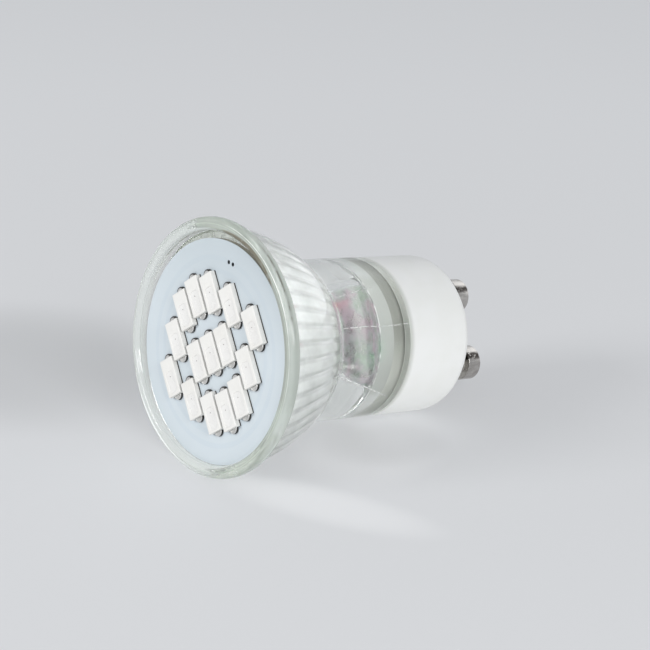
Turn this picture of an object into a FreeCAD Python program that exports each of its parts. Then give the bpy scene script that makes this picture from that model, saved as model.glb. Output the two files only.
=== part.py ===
import FreeCAD, Part
import math
import os

os.makedirs("parts", exist_ok=True)

# Small reflector bulb, 35 mm across, with a two-pin twist-lock base.
# The flat front of the glass rim is at z = 0 and the pins point along +Z, one at each side on Y.

# Rolled rim of the glass
rim_r = 17.5
rim_bead_r = 0.95
rim_flat = 0.23
rim_inner_round = 0.6
ledge_width = 1.52

# Bowl of the glass: smooth outside, flat facets inside
bowl_bulge = 0.95
bowl_end_z = 14.1
facet_count = 40
facet_row_ends = (0.0, 0.21, 0.835, 1.0)
facet_wall = 2.7
facet_floor_z = 13.0
facet_curve = 0.55

# Neck of the glass with its tapered rounded-square hole and rear hollow
neck_lip = 0.05
neck_fillet = 0.6
neck_end_z = 26.6
neck_edge_round = 0.3
hole_taper = 3.2
hole_front_round = 1.8
hole_back_round = 2.4
hole_back_inset = 5.0
hollow_ledge = 2.3
hollow_step = 0.8
spigot_wall = 1.3
spigot_length = 4.4

# Ceramic base
base_r = 11.25
base_wall = 1.6
base_floor_t = 3.0
base_rear_round = 2.0
base_front_round = 0.3
cement_t = 0.45
cement_gap = 0.03
filling_inset = 1.4

# Contact pins
pin_spacing = 10.0
pin_reach = 9.2
pin_shank_r = 1.5
pin_head_r = 2.5
pin_head_t = 2.45
pin_head_round = 0.5
pin_edge_round = 0.12
pin_hole_gap = 0.05
pin_collar_r = 2.1
pin_collar_t = 0.6
pin_dimple_r = 0.6
pin_dimple_depth = 0.4

# Round board that carries the LEDs, turned a little from the line of the pins
board_gap = 0.57
board_t = 1.0
board_turn = -9.4
board_shift_x = 0.18
board_shift_y = -0.5
wire_hole_r = 0.28
wire_hole_inset = 2.65
wire_hole_angle = 131.4
wire_hole_pitch = 0.9

# LEDs: a ring of twelve round a row of three
led_gap = 0.42
led_ring_steps = (2.8, 2.1, -0.95)
led_row_reach = 1
led_group_x = -0.15
led_group_y = -0.2
led_length = 5.25
led_width = 2.8
led_height = 0.85
led_inset = 0.23
led_edge_round = 0.1
led_corner_round = 0.12
window_length = 3.0
window_width = 1.75
window_round = 0.6
window_margin = 0.375
window_depth = 0.45
window_dish = 0.04
mark_length = 0.9
mark_width = 0.5
mark_round = 0.24
mark_margin = 1.075
mark_depth = 0.06
frame_t = 0.15
frame_overhang = 0.06
frame_split = 0.4
tab_r = 0.82
tab_t = 0.42
tab_round = 0.12

# Driver board, upright in the hollow, and the parts on it
driver_t = 1.0
driver_side_gap = 1.0
driver_lead_in = 3.3
driver_end_gap = 1.7
driver_margin = 0.2
driver_tail = 0.15
part_gap = 0.55
seat_gap = 0.05
chip_lead_t = 0.22
rectifier_length = 4.7
rectifier_width = 3.9
rectifier_height = 2.2
rectifier_side = 0.05
chip_length = 4.9
chip_width = 3.9
chip_height = 1.5
chip_side = 0.55
chip_lead_count = 4
chip_lead_pitch = 1.27
chip_lead_reach = 0.8
rectifier_lead_pitch = 2.54
choke_r = 1.9
choke_core_r = 1.1
choke_flange_t = 0.6
choke_height = 4.0
choke_y = 0.0
capacitor_r = 2.4
capacitor_length = 7.0
capacitor_y = -1.9
capacitor_margin = 1.6
capacitor_groove_depth = 0.25
fuse_r = 1.0
fuse_length = 4.6
fuse_waist_r = 0.8
fuse_y = 3.4
fuse_margin = 2.6

# Wires
feed_wire_r = 0.55
feed_wire_gap = 0.45
feed_mid_share = 0.294
feed_pad_x = 1.6
feed_pad_y = 3.4
feed_bend_front = 5.12
feed_bend_mid = 0.4
feed_bend_back = 0.6
feed_margin = 2.6
pin_lead_r = 0.35
pin_lead_bend = 0.6
pin_lead_reach = 2.4
bend_share = 0.45

# Two heights nearer than this are the same
tiny = 0.01

# Widths worked out from the rim and the base inwards
recess_r = rim_r - rim_bead_r - rim_flat - rim_inner_round
facet_front_r = recess_r - ledge_width
board_r = recess_r - board_gap
wire_hole_circle_r = board_r - wire_hole_inset
neck_r = base_r + neck_lip
facet_back_r = neck_r - facet_wall
base_bore_r = base_r - base_wall
spigot_r = base_bore_r - cement_t
hollow_r = spigot_r - spigot_wall
hole_back_side = 2 * (hollow_r - hollow_ledge)
hole_front_side = hole_back_side - hole_taper
driver_half_width = math.sqrt(hollow_r ** 2 - driver_t ** 2 / 4) - driver_side_gap
driver_face_x = driver_t / 2

# Places of the LEDs and of the parts on the driver board
led_pitch = led_width + led_gap
led_ring_heights = [led_length + step for step in led_ring_steps] + [0.0]
window_offset = window_margin + window_length / 2 - led_length / 2
mark_offset = led_length / 2 - mark_margin
rectifier_y = rectifier_side + rectifier_length / 2
chip_y = -chip_side - chip_length / 2
feed_wire_y = choke_r + feed_wire_gap + feed_wire_r
feed_mid_y = feed_mid_share * hole_front_side

# Heights from the rim to the ends of the pins
recess_depth = led_inset + led_height + board_t
board_front_z = recess_depth - board_t
led_top_z = board_front_z - led_height
feed_bend_front_z = recess_depth + feed_bend_front
feed_bend_mid_z = facet_floor_z + feed_bend_mid
hole_back_z = neck_end_z - hole_back_inset
feed_bend_back_z = hole_back_z - feed_bend_back
spigot_end_z = neck_end_z + spigot_length
filling_front_z = neck_end_z - filling_inset
driver_front_z = neck_end_z - driver_lead_in
choke_z = driver_front_z + driver_margin + choke_r
capacitor_z = driver_front_z + capacitor_margin
fuse_z = driver_front_z + fuse_margin
feed_end_z = driver_front_z + feed_margin
leads_front_z = choke_z + choke_r + part_gap + chip_lead_reach
chip_z = leads_front_z + max(chip_width, rectifier_width) / 2
driver_end_z = 2 * chip_z - leads_front_z + chip_lead_reach + driver_tail
base_floor_z = driver_end_z + driver_end_gap + pin_collar_t
base_end_z = base_floor_z + base_floor_t
pin_end_z = base_end_z + pin_reach


def export(shape, node):
    shape.exportStep("parts/" + node + ".step")


def point(radius, height):
    return FreeCAD.Vector(radius, 0, height)


def line(start, end):
    return Part.LineSegment(start, end).toShape()


def arc(start, middle, end):
    return Part.Arc(start, middle, end).toShape()


def corner_arc(start, centre, end):
    """Quarter round from start to end about centre."""
    middle = centre + (start + end - centre * 2).normalize() * (start - centre).Length
    return arc(start, middle, end)


def turned(edges):
    """Solid of revolution about Z from a closed outline in the XZ plane."""
    outline = Part.Face(Part.Wire(edges))
    return outline.revolve(FreeCAD.Vector(0, 0, 0), FreeCAD.Vector(0, 0, 1), 360)


def round_edges(solid, radius, wanted):
    """Round off the edges that wanted picks out."""
    return solid.makeFillet(radius, [edge for edge in solid.Edges if wanted(edge)])


def rounded_rectangle(length_x, length_y, radius, height):
    """Closed wire in a plane of constant z, centred on the axis."""
    inner_x = length_x / 2 - radius
    inner_y = length_y / 2 - radius
    edges = []
    corners = ((1, 1), (-1, 1), (-1, -1), (1, -1))
    for index, (side_x, side_y) in enumerate(corners):
        centre = FreeCAD.Vector(side_x * inner_x, side_y * inner_y, height)
        start_angle = index * math.pi / 2
        around = [
            centre + FreeCAD.Vector(math.cos(a), math.sin(a), 0) * radius
            for a in (start_angle, start_angle + math.pi / 4, start_angle + math.pi / 2)
        ]
        if edges:
            edges.append(line(edges[-1].lastVertex().Point, around[0]))
        edges.append(arc(*around))
    edges.append(line(edges[-1].lastVertex().Point, edges[0].firstVertex().Point))
    return Part.Wire(edges)


def faceted_plug(levels, count):
    """Closed solid with flat sides: a stack of regular polygons given as (corner radius, z)."""
    step = 2 * math.pi / count
    rings = [
        [
            FreeCAD.Vector(radius * math.cos(k * step), radius * math.sin(k * step), height)
            for k in range(count)
        ]
        for radius, height in levels
    ]
    faces = []
    for lower, upper in zip(rings, rings[1:]):
        for k in range(count):
            following = (k + 1) % count
            quad = [lower[k], lower[following], upper[following], upper[k], lower[k]]
            faces.append(Part.Face(Part.makePolygon(quad)))
    for ring in (rings[0], rings[-1]):
        faces.append(Part.Face(Part.makePolygon(ring + ring[:1])))
    shell = Part.Shell(faces)
    solid = Part.Solid(shell)
    return solid if solid.Volume > 0 else Part.Solid(shell.reversed())


def bent_rod(points, radius):
    """Round rod along straight runs joined by arcs as large as the runs allow."""
    edges = []
    start = points[0]
    for before, here, after in zip(points, points[1:], points[2:]):
        into = (here - before).normalize()
        out = (after - here).normalize()
        trim = bend_share * min((here - before).Length, (after - here).Length)
        half_turn = into.getAngle(out) / 2
        centre_way = (out - into).normalize()
        bend_r = trim / math.tan(half_turn)
        first = here - into * trim
        last = here + out * trim
        middle = here + centre_way * (bend_r / math.cos(half_turn) - bend_r)
        edges.append(line(start, first))
        edges.append(arc(first, middle, last))
        start = last
    edges.append(line(start, points[-1]))
    path = Part.Wire(edges)
    way = (points[1] - points[0]).normalize()
    section = Part.Wire([Part.makeCircle(radius, points[0], way)])
    return path.makePipeShell([section], True, False)


def reflector_outline():
    """Outline of the glass, from the recess behind the rim round the outside to the axis."""
    bead_r = rim_bead_r
    bead_centre_r = rim_r - bead_r
    bead_end = point(bead_centre_r, 2 * bead_r)
    neck_start = point(neck_r, bowl_end_z)
    chord = neck_start - bead_end
    outward = FreeCAD.Vector(chord.z, 0, -chord.x).normalize()
    bowl_middle = (bead_end + neck_start) * 0.5 + outward * bowl_bulge
    rim_inner = recess_r + rim_inner_round
    hollow_front_z = hole_back_z + hollow_step
    edge_r = neck_r - neck_edge_round
    return [
        line(point(0, recess_depth), point(recess_r, recess_depth)),
        line(point(recess_r, recess_depth), point(recess_r, rim_inner_round)),
        corner_arc(point(recess_r, rim_inner_round), point(rim_inner, rim_inner_round), point(rim_inner, 0)),
        line(point(rim_inner, 0), point(bead_centre_r, 0)),
        arc(point(bead_centre_r, 0), point(rim_r, bead_r), bead_end),
        arc(bead_end, bowl_middle, neck_start),
        line(neck_start, point(neck_r, neck_end_z - neck_edge_round)),
        corner_arc(
            point(neck_r, neck_end_z - neck_edge_round),
            point(edge_r, neck_end_z - neck_edge_round),
            point(edge_r, neck_end_z),
        ),
        line(point(edge_r, neck_end_z), point(spigot_r, neck_end_z)),
        line(point(spigot_r, neck_end_z), point(spigot_r, spigot_end_z)),
        line(point(spigot_r, spigot_end_z), point(hollow_r, spigot_end_z)),
        line(point(hollow_r, spigot_end_z), point(hollow_r, hollow_front_z)),
        line(point(hollow_r, hollow_front_z), point(0, hollow_front_z)),
        line(point(0, hollow_front_z), point(0, recess_depth)),
    ]


def facet_levels():
    """Radii and heights of the facet rows: a shallow parabola from the ledge to the floor."""
    levels = []
    for t in facet_row_ends:
        height = recess_depth + (facet_floor_z - recess_depth) * t
        share = (1 - facet_curve) * t + facet_curve * t * t
        levels.append((facet_front_r + (facet_back_r - facet_front_r) * share, height))
    return levels


def glass_reflector():
    glass = turned(reflector_outline())

    def at_neck_start(edge):
        box = edge.BoundBox
        level = box.ZLength < tiny and abs(box.ZMin - bowl_end_z) < tiny
        return level and abs(box.XMax - neck_r) < tiny

    glass = round_edges(glass, neck_fillet, at_neck_start)
    glass = glass.cut(faceted_plug(facet_levels(), facet_count))
    front = rounded_rectangle(hole_front_side, hole_front_side, hole_front_round, facet_floor_z)
    back = rounded_rectangle(hole_back_side, hole_back_side, hole_back_round, hole_back_z)
    glass = glass.cut(Part.makeLoft([front, back], True, True))
    step = rounded_rectangle(hole_back_side, hole_back_side, hole_back_round, hole_back_z)
    return glass.cut(Part.Face(step).extrude(FreeCAD.Vector(0, 0, hollow_step)))


def on_board(shape):
    """Carry a shape from the board's own axes to its place in the reflector."""
    shape.translate(FreeCAD.Vector(board_shift_x, board_shift_y, 0))
    shape.rotate(FreeCAD.Vector(0, 0, 0), FreeCAD.Vector(0, 0, 1), board_turn)
    return shape


def led_board():
    board = Part.makeCylinder(board_r, board_t, FreeCAD.Vector(0, 0, board_front_z))
    swing = math.degrees(wire_hole_pitch / wire_hole_circle_r) / 2
    for side in (-1, 1):
        angle = math.radians(wire_hole_angle + side * swing)
        x = wire_hole_circle_r * math.cos(angle)
        y = wire_hole_circle_r * math.sin(angle)
        hole = Part.makeCylinder(wire_hole_r, board_t, FreeCAD.Vector(x, y, board_front_z))
        board = board.cut(hole)
    return on_board(board)


def led_places():
    """Centres of the LEDs in the board's own axes, column by column from one side."""
    places = []
    reach = len(led_ring_heights) - 1
    for column in range(-reach, reach + 1):
        ring_height = led_ring_heights[abs(column)]
        heights = {ring_height, -ring_height}
        if abs(column) <= led_row_reach:
            heights.add(0.0)
        x = led_group_x + column * led_pitch
        places += [(x, led_group_y + y) for y in sorted(heights)]
    return places


def in_place(shape, place):
    shape.translate(FreeCAD.Vector(place[0], place[1], 0))
    return on_board(shape)


def led_housing(place):
    depth = led_height - frame_t
    body = Part.makeBox(
        led_width,
        led_length,
        depth,
        FreeCAD.Vector(-led_width / 2, -led_length / 2, led_top_z),
    )
    body = round_edges(body, led_corner_round, lambda edge: edge.BoundBox.ZLength > depth / 2)
    body = round_edges(body, led_edge_round, lambda edge: edge.BoundBox.ZMax < led_top_z + tiny)
    pocket = led_pocket(window_depth)
    mark = rounded_rectangle(mark_width, mark_length, mark_round, led_top_z)
    mark_face = Part.Face(mark).extrude(FreeCAD.Vector(0, 0, mark_depth))
    mark_face.rotate(FreeCAD.Vector(0, 0, 0), FreeCAD.Vector(0, 0, 1), 90)
    mark_face.translate(FreeCAD.Vector(0, mark_offset, 0))
    return in_place(body.cut(pocket).cut(mark_face), place)


def led_pocket(depth):
    outline = rounded_rectangle(window_width, window_length, window_round, led_top_z)
    pocket = Part.Face(outline).extrude(FreeCAD.Vector(0, 0, depth))
    pocket.translate(FreeCAD.Vector(0, window_offset, 0))
    return pocket


def led_window(place):
    """Clear resin that fills the pocket, its face a little below the housing's."""
    resin = led_pocket(window_depth)
    skin = led_pocket(window_dish)
    return in_place(resin.cut(skin), place)


def led_terminals(place):
    """Lead frame in two halves under the housing, each with a half-moon tab at its end."""
    halves = []
    plate_width = led_width + 2 * frame_overhang
    plate_length = (led_length - frame_split) / 2
    plate_z = board_front_z - frame_t
    for side in (-1, 1):
        low_y = frame_split / 2 if side > 0 else -led_length / 2
        corner = FreeCAD.Vector(-plate_width / 2, low_y, plate_z)
        plate = Part.makeBox(plate_width, plate_length, frame_t, corner)
        end = FreeCAD.Vector(0, side * led_length / 2, board_front_z - tab_t)
        disc = Part.makeCylinder(tab_r, tab_t, end)
        disc = round_edges(disc, tab_round, lambda edge: edge.BoundBox.ZMax < board_front_z - tab_t / 2)
        keep = Part.makeBox(
            2 * tab_r,
            tab_r,
            tab_t,
            FreeCAD.Vector(-tab_r, end.y if side > 0 else end.y - tab_r, end.z),
        )
        halves.append(plate.fuse(disc.common(keep)).removeSplitter())
    return in_place(Part.makeCompound(halves), place)


def base_cement():
    """Ring round the spigot, and the filling that holds the driver in the hollow."""
    outer = Part.makeCylinder(base_bore_r - cement_gap, spigot_length, point(0, neck_end_z))
    inner = Part.makeCylinder(spigot_r + cement_gap, spigot_length, point(0, neck_end_z))
    depth = spigot_end_z - filling_front_z
    filling = Part.makeCylinder(hollow_r - cement_gap, depth, point(0, filling_front_z))
    held = [driver_board(), driver_chip(), bridge_rectifier(), choke(), smoothing_capacitor()]
    held += [fuse_resistor(), feed_wire(1), feed_wire(-1)]
    held += [pin_lead(y) for y in pin_places().values()]
    for part in held:
        filling = filling.cut(part)
    return Part.makeCompound([outer.cut(inner), filling])


def pin_places():
    return {"left": -pin_spacing / 2, "right": pin_spacing / 2}


def ceramic_base():
    rear_r = base_r - base_rear_round
    front_r = base_r - base_front_round
    rear_z = base_end_z - base_rear_round
    front_z = neck_end_z + base_front_round
    outline = [
        line(point(base_bore_r, neck_end_z), point(front_r, neck_end_z)),
        corner_arc(point(front_r, neck_end_z), point(front_r, front_z), point(base_r, front_z)),
        line(point(base_r, front_z), point(base_r, rear_z)),
        corner_arc(point(base_r, rear_z), point(rear_r, rear_z), point(rear_r, base_end_z)),
        line(point(rear_r, base_end_z), point(0, base_end_z)),
        line(point(0, base_end_z), point(0, base_floor_z)),
        line(point(0, base_floor_z), point(base_bore_r, base_floor_z)),
        line(point(base_bore_r, base_floor_z), point(base_bore_r, neck_end_z)),
    ]
    base = turned(outline)
    for y in pin_places().values():
        corner = FreeCAD.Vector(0, y, base_floor_z)
        base = base.cut(Part.makeCylinder(pin_shank_r + pin_hole_gap, base_floor_t, corner))
    return base


def contact_pin(y):
    collar_z = base_floor_z - pin_collar_t
    head_z = pin_end_z - pin_head_t
    low_head_z = head_z + pin_edge_round
    high_head_z = pin_end_z - pin_head_round
    edge_r = pin_head_r - pin_edge_round
    crown_r = pin_head_r - pin_head_round
    outline = [
        line(point(0, collar_z), point(pin_collar_r, collar_z)),
        line(point(pin_collar_r, collar_z), point(pin_collar_r, base_floor_z)),
        line(point(pin_collar_r, base_floor_z), point(pin_shank_r, base_floor_z)),
        line(point(pin_shank_r, base_floor_z), point(pin_shank_r, head_z)),
        line(point(pin_shank_r, head_z), point(edge_r, head_z)),
        corner_arc(point(edge_r, head_z), point(edge_r, low_head_z), point(pin_head_r, low_head_z)),
        line(point(pin_head_r, low_head_z), point(pin_head_r, high_head_z)),
        corner_arc(point(pin_head_r, high_head_z), point(crown_r, high_head_z), point(crown_r, pin_end_z)),
        line(point(crown_r, pin_end_z), point(pin_dimple_r, pin_end_z)),
        line(point(pin_dimple_r, pin_end_z), point(0, pin_end_z - pin_dimple_depth)),
        line(point(0, pin_end_z - pin_dimple_depth), point(0, collar_z)),
    ]
    pin = turned(outline)
    pin.translate(FreeCAD.Vector(0, y, 0))
    return pin


def driver_board():
    return Part.makeBox(
        driver_t,
        2 * driver_half_width,
        driver_end_z - driver_front_z,
        FreeCAD.Vector(-driver_face_x, -driver_half_width, driver_front_z),
    )


def flat_leads(y, z, half_span, reach, thickness, pitch, count, lift):
    """Two rows of flat leads that leave a body across Z and rest on the board's face."""
    leads = []
    width = pitch / 3
    for side in (-1, 1):
        for k in range(count):
            lead_y = y + (k - (count - 1) / 2) * pitch - width / 2
            lead_z = z + half_span if side > 0 else z - half_span - reach
            foot = Part.makeBox(thickness, width, reach, FreeCAD.Vector(driver_face_x, lead_y, lead_z))
            rise_z = z + half_span if side > 0 else z - half_span - thickness
            rise = Part.makeBox(lift, width, thickness, FreeCAD.Vector(driver_face_x, lead_y, rise_z))
            leads.append(foot.fuse(rise).removeSplitter())
    return leads


def chip_package(y, z, width, length, height, pitch, count):
    """Moulded body on the board's face with its leads, wide along Y and short along Z."""
    body = Part.makeBox(
        height,
        length,
        width,
        FreeCAD.Vector(driver_face_x, y - length / 2, z - width / 2),
    )
    lid_x = driver_face_x + height
    body = body.makeChamfer(height / 8, [edge for edge in body.Edges if edge.BoundBox.XMin > lid_x - tiny])
    leads = flat_leads(y, z, width / 2, chip_lead_reach, chip_lead_t, pitch, count, height / 2)
    for lead in leads:
        body = body.fuse(lead)
    return body.removeSplitter()


def driver_chip():
    return chip_package(
        chip_y,
        chip_z,
        chip_width,
        chip_length,
        chip_height,
        chip_lead_pitch,
        chip_lead_count,
    )


def bridge_rectifier():
    return chip_package(
        rectifier_y,
        chip_z,
        rectifier_width,
        rectifier_length,
        rectifier_height,
        rectifier_lead_pitch,
        2,
    )


def upright(solid, y, z):
    """Turn a solid built along +Z so that it stands on the board's face, pointing along +X."""
    solid.rotate(FreeCAD.Vector(0, 0, 0), FreeCAD.Vector(0, 1, 0), 90)
    solid.translate(FreeCAD.Vector(driver_face_x, y, z))
    return solid


def choke():
    waist_top = choke_height - choke_flange_t
    outline = [
        line(point(0, 0), point(choke_r, 0)),
        line(point(choke_r, 0), point(choke_r, choke_flange_t)),
        line(point(choke_r, choke_flange_t), point(choke_core_r, choke_flange_t)),
        line(point(choke_core_r, choke_flange_t), point(choke_core_r, waist_top)),
        line(point(choke_core_r, waist_top), point(choke_r, waist_top)),
        line(point(choke_r, waist_top), point(choke_r, choke_height)),
        line(point(choke_r, choke_height), point(0, choke_height)),
        line(point(0, choke_height), point(0, 0)),
    ]
    return upright(turned(outline), choke_y, choke_z)


def smoothing_capacitor():
    """Round can lying along Z behind the board, with a crimped groove near its sealed end."""
    groove_z = capacitor_length / 6
    groove_half = capacitor_groove_depth
    waist_r = capacitor_r - capacitor_groove_depth
    outline = [
        line(point(0, 0), point(capacitor_r, 0)),
        line(point(capacitor_r, 0), point(capacitor_r, groove_z - groove_half)),
        arc(
            point(capacitor_r, groove_z - groove_half),
            point(waist_r, groove_z),
            point(capacitor_r, groove_z + groove_half),
        ),
        line(point(capacitor_r, groove_z + groove_half), point(capacitor_r, capacitor_length)),
        line(point(capacitor_r, capacitor_length), point(0, capacitor_length)),
        line(point(0, capacitor_length), point(0, 0)),
    ]
    can = turned(outline)
    can.translate(FreeCAD.Vector(-driver_face_x - seat_gap - capacitor_r, capacitor_y, capacitor_z))
    return can


def fuse_resistor():
    """Axial resistor lying along Z behind the board: a waist between two fuller ends."""
    cap = fuse_length / 4
    bend = fuse_r - fuse_waist_r
    outline = [
        line(point(0, 0), point(fuse_r, 0)),
        line(point(fuse_r, 0), point(fuse_r, cap)),
        line(point(fuse_r, cap), point(fuse_waist_r, cap + bend)),
        line(point(fuse_waist_r, cap + bend), point(fuse_waist_r, fuse_length - cap - bend)),
        line(point(fuse_waist_r, fuse_length - cap - bend), point(fuse_r, fuse_length - cap)),
        line(point(fuse_r, fuse_length - cap), point(fuse_r, fuse_length)),
        line(point(fuse_r, fuse_length), point(0, fuse_length)),
        line(point(0, fuse_length), point(0, 0)),
    ]
    body = turned(outline)
    body.translate(FreeCAD.Vector(-driver_face_x - seat_gap - fuse_r, fuse_y, fuse_z))
    return body


def feed_wire(side):
    """Insulated wire from the driver board through the neck to the back of the LED board."""
    wire_x = driver_face_x + feed_wire_r + seat_gap
    return bent_rod(
        [
            FreeCAD.Vector(wire_x, side * feed_wire_y, feed_end_z),
            FreeCAD.Vector(wire_x, side * feed_wire_y, feed_bend_back_z),
            FreeCAD.Vector(0, side * feed_mid_y, feed_bend_mid_z),
            FreeCAD.Vector(feed_pad_x, side * feed_pad_y, feed_bend_front_z),
            FreeCAD.Vector(feed_pad_x, side * feed_pad_y, recess_depth),
        ],
        feed_wire_r,
    )


def pin_lead(y):
    """Bare lead from the collar of a pin, over the edge of the driver board, down its face."""
    collar_z = base_floor_z - pin_collar_t
    lead_x = -driver_face_x - seat_gap - pin_lead_r
    side = math.copysign(1, y)
    return bent_rod(
        [
            FreeCAD.Vector(0, y, collar_z),
            FreeCAD.Vector(0, y, collar_z - pin_lead_bend),
            FreeCAD.Vector(lead_x, y + side * pin_lead_r, driver_end_z + pin_lead_bend),
            FreeCAD.Vector(lead_x, y + side * pin_lead_r, driver_end_z - pin_lead_reach),
        ],
        pin_lead_r,
    )


export(glass_reflector(), "glass_reflector")
export(led_board(), "led_board")
for number, place in enumerate(led_places(), 1):
    export(led_housing(place), f"led_housing_{number:02d}")
    export(led_window(place), f"led_window_{number:02d}")
    export(led_terminals(place), f"led_terminals_{number:02d}")
export(base_cement(), "base_cement")
export(ceramic_base(), "ceramic_base")
for name, y in pin_places().items():
    export(contact_pin(y), "contact_pin_" + name)
export(driver_board(), "driver_board")
export(driver_chip(), "driver_chip")
export(bridge_rectifier(), "bridge_rectifier")
export(choke(), "choke")
export(smoothing_capacitor(), "smoothing_capacitor")
export(fuse_resistor(), "fuse_resistor")
export(feed_wire(1), "feed_wire_red")
export(feed_wire(-1), "feed_wire_white")
export(Part.makeCompound([pin_lead(y) for y in pin_places().values()]), "pin_leads")
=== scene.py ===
import math
import bpy
import numpy as np
from mathutils import Matrix, Vector


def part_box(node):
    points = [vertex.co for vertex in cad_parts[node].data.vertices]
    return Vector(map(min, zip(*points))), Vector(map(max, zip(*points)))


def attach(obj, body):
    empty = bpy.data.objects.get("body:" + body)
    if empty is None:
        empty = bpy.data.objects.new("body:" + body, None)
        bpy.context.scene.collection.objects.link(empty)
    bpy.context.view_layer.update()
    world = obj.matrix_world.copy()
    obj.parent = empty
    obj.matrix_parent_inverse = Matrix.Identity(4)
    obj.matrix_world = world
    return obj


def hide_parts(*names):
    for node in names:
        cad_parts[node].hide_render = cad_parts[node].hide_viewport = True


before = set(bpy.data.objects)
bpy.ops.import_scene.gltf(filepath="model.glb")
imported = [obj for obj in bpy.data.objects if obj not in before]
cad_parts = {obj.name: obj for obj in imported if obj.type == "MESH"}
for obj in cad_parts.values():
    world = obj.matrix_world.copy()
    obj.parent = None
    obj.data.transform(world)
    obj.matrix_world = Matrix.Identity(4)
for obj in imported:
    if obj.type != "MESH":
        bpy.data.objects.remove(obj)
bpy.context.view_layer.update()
mm = 0.001
print("frame:", len(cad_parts), "nodes")


class Wire:
    # an output socket that can be used in sums: each of + - * ** > < adds one Math node
    def __init__(self, tree, socket):
        self.tree = tree
        self.socket = socket

    def math(self, operation, *values):
        node = self.tree.nodes.new("ShaderNodeMath")
        node.operation = operation
        for entry, value in zip(node.inputs, values):
            plug(self.tree, entry, value)
        return Wire(self.tree, node.outputs[0])

    def __abs__(self):
        return self.math("ABSOLUTE", self)

    def union(self, other):
        # the greater of two zones
        return self.math("MAXIMUM", self, other)


def asMethod(operation, swapped):
    # method that adds a Math node of two values, with the other one first where swapped
    def apply(self, other):
        values = (other, self) if swapped else (self, other)
        return self.math(operation, *values)
    return apply


for sign, operation in (("add", "ADD"), ("sub", "SUBTRACT"), ("mul", "MULTIPLY")):
    setattr(Wire, f"__{sign}__", asMethod(operation, False))
    setattr(Wire, f"__r{sign}__", asMethod(operation, True))
for sign, operation in (("pow", "POWER"), ("gt", "GREATER_THAN"), ("lt", "LESS_THAN")):
    setattr(Wire, f"__{sign}__", asMethod(operation, False))


def plug(tree, entry, value):
    # a Wire is linked to the socket, anything else is set on it
    if isinstance(value, Wire):
        tree.links.new(value.socket, entry)
    else:
        entry.default_value = value


class Finish:
    # one material under construction, with all lengths in millimetres; patterns read Object coordinates
    def __init__(self, name, slotName=None, world=None):
        self.material = world or bpy.data.materials.new(name)
        self.material.use_nodes = True
        self.slotName = slotName
        self.axes = None
        self.tree = self.material.node_tree
        self.tree.nodes.clear()
        self.output = self.tree.nodes.new("ShaderNodeOutputWorld" if world else "ShaderNodeOutputMaterial")

    def node(self, kind, settings=None, sockets=None, out=0):
        # any node: its settings first, ramp stops among them, then the values or links of its sockets
        made = self.tree.nodes.new(kind)
        for key, value in (settings or {}).items():
            if key == "stops":
                while len(made.color_ramp.elements) < len(value):
                    made.color_ramp.elements.new(1.0)
                for element, (place, color) in zip(made.color_ramp.elements, value):
                    element.position = place
                    element.color = (*color, 1.0)
            else:
                setattr(made, key, value)
        for key, value in (sockets or {}).items():
            plug(self.tree, made.inputs[key], value)
        return Wire(self.tree, made.outputs[out])

    def place(self):
        return self.node("ShaderNodeTexCoord", out="Object")

    def coordinates(self):
        # x, y, z and the distance from the Z axis, made once for each material
        if self.axes is None:
            split = self.node("ShaderNodeSeparateXYZ", {}, {0: self.place()}).socket.node
            x, y, z = (Wire(self.tree, socket) * (1 / mm) for socket in split.outputs)
            self.axes = (x, y, z, (x * x + y * y) ** 0.5)
        return self.axes

    def along(self, way, place=None):
        # dot product of place and direction, in metres
        sockets = {0: place or self.place(), 1: tuple(way)}
        return self.node("ShaderNodeVectorMath", {"operation": "DOT_PRODUCT"}, sockets, "Value")

    def noise(self, size, detail=3.0, rough=0.5, warp=0.0, squeeze=(1, 1, 1)):
        # cloud of values 0 to 1 whose lumps are about size across, longer where squeeze is under 1
        place = self.node("ShaderNodeVectorMath", {"operation": "MULTIPLY"}, {0: self.place(), 1: squeeze})
        sockets = {"Vector": place, "Scale": 1 / (size * mm), "Detail": detail}
        sockets.update({"Roughness": rough, "Distortion": warp})
        return self.node("ShaderNodeTexNoise", {}, sockets, "Fac")

    def ramp(self, value, stops):
        return self.node("ShaderNodeValToRGB", {"stops": stops}, {"Fac": value}, "Color")

    def blend(self, share, first, second):
        # colour mix: first where share is 0, second where it is 1
        sockets = {0: share, 6: asColor(first), 7: asColor(second)}
        return self.node("ShaderNodeMix", {"data_type": "RGBA"}, sockets, 2)

    def span(self, value, low, high, lowOut=0.0, highOut=1.0):
        # smooth step of value from low to high
        settings = {"interpolation_type": "SMOOTHSTEP"}
        sockets = {"Value": value, "From Min": low, "From Max": high, "To Min": lowOut, "To Max": highOut}
        return self.node("ShaderNodeMapRange", settings, sockets)

    def fades(self, look):
        # short form of span for the fades of one look, by their keys
        return lambda value, key: self.span(value, *look[key])

    def near(self, value, inner, outer, strength=1.0):
        # strength where value is within inner of 0, falling to 0 at outer on both sides
        return self.span(abs(value), inner, outer, strength, 0.0)

    def bump(self, height, strength, distance):
        sockets = {"Height": height, "Strength": strength, "Distance": distance * mm}
        return self.node("ShaderNodeBump", {}, sockets)

    def seen(self):
        # 1 where the eye sees the surface, straight or through glass or in a reflection
        kinds = ("Camera", "Glossy", "Transmission")
        camera, glossy, through = (self.node("ShaderNodeLightPath", out=f"Is {kind} Ray") for kind in kinds)
        return camera.union(glossy.union(through))

    def shader(self, **sockets):
        names = {name.replace("_", " "): value for name, value in sockets.items()}
        return self.node("ShaderNodeBsdfPrincipled", {}, names)

    def principled(self, **sockets):
        return self.use(self.shader(**sockets))

    def use(self, shader, entry="Surface"):
        plug(self.tree, self.output.inputs[entry], shader)
        return self


def asColor(value):
    return value if isinstance(value, Wire) or len(value) == 4 else (*value, 1.0)


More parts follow.
